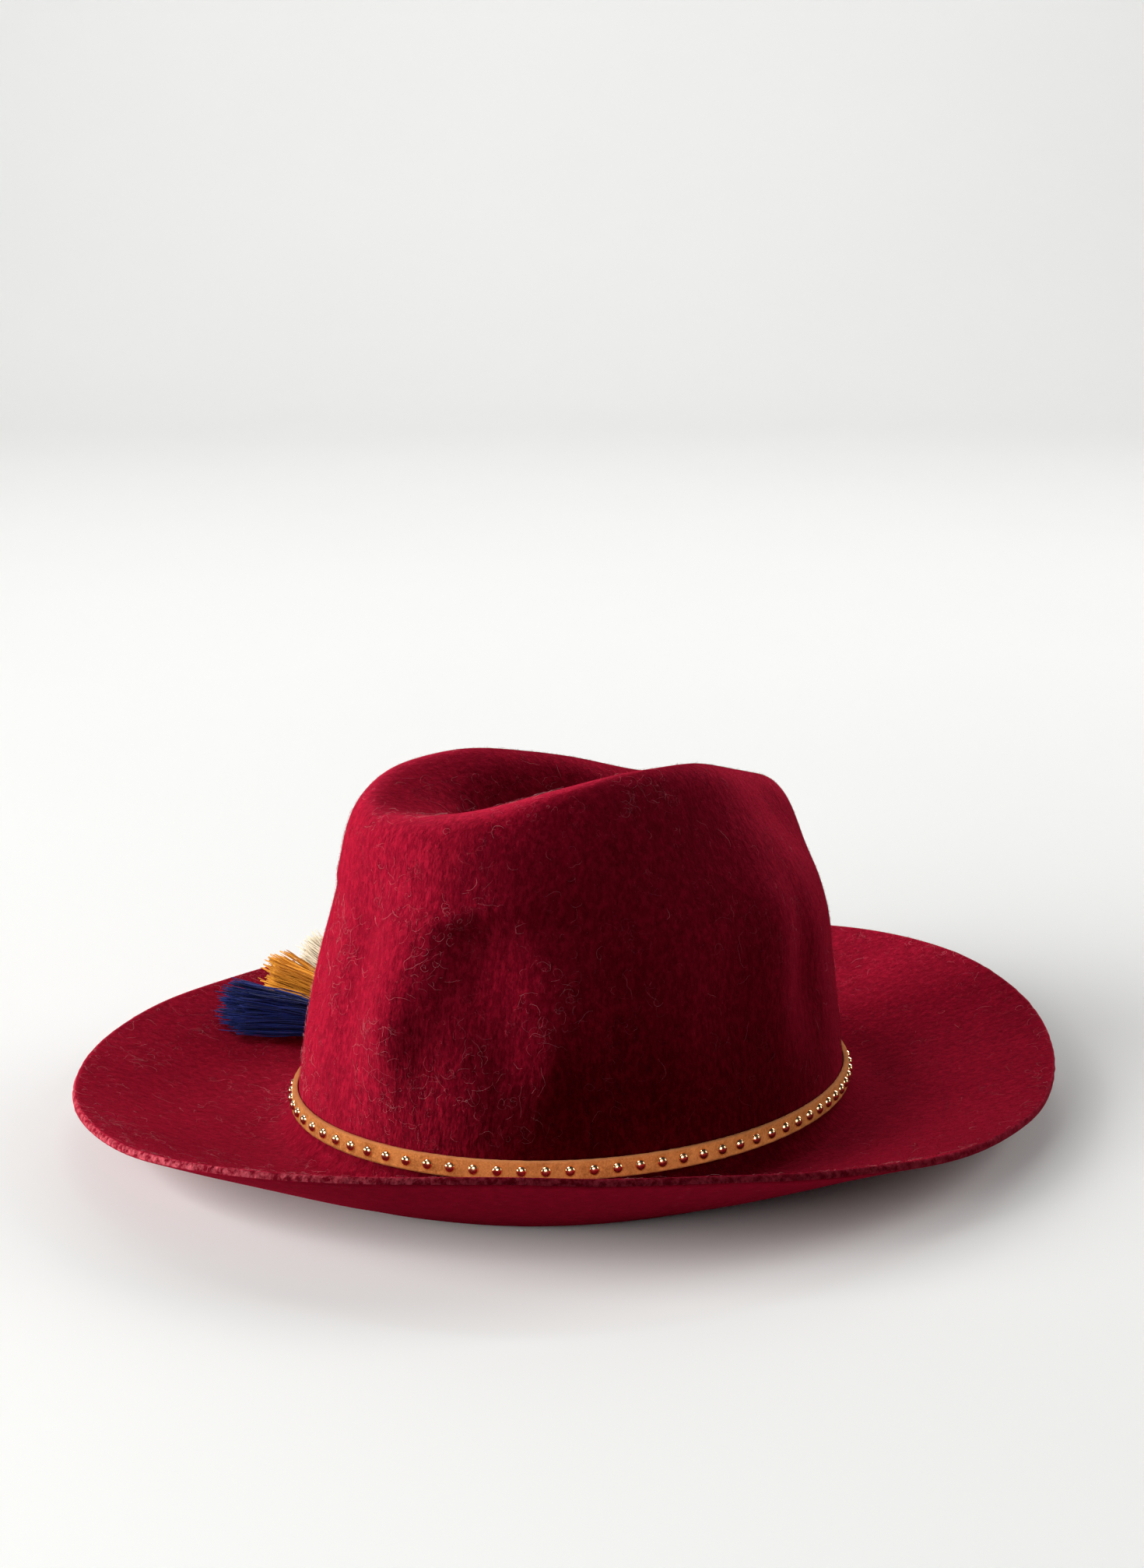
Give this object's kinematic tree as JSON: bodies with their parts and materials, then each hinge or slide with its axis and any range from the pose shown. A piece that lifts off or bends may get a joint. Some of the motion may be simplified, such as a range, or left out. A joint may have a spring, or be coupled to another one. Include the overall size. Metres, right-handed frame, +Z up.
{
  "type": "wide-brimmed felt fedora with studded strap and tassels",
  "caption": "Wide-brimmed felt hat with a teardrop crown, upturned brim, suede strap set with metal domes, and thread tassels; it lies on its brim and its hollow takes a head.",
  "frame": {"origin": "on the surface that the hat lies on, under the middle of the brim", "axes": "+X towards the front of the hat, +Y towards the wearer's left, +Z up"},
  "size_m": [0.3621, 0.3213, 0.1338],
  "materials": {
    "wool_felt": "brushed burgundy wool felt with stray pale fibres",
    "suede": "tan suede, matt",
    "stud_gold": "polished gold-coloured domes",
    "thread_navy": "fine navy cotton threads",
    "thread_mustard": "fine mustard cotton threads",
    "thread_cream": "fine cream cotton threads"
  },
  "bodies": {
    "root": {"felt_body": "wool_felt", "studded_band": "suede", "tassel_knot": "thread_navy", "tassel_navy": "thread_navy", "tassel_mustard": "thread_mustard", "tassel_cream": "thread_cream"}
  },
  "joints": []
}
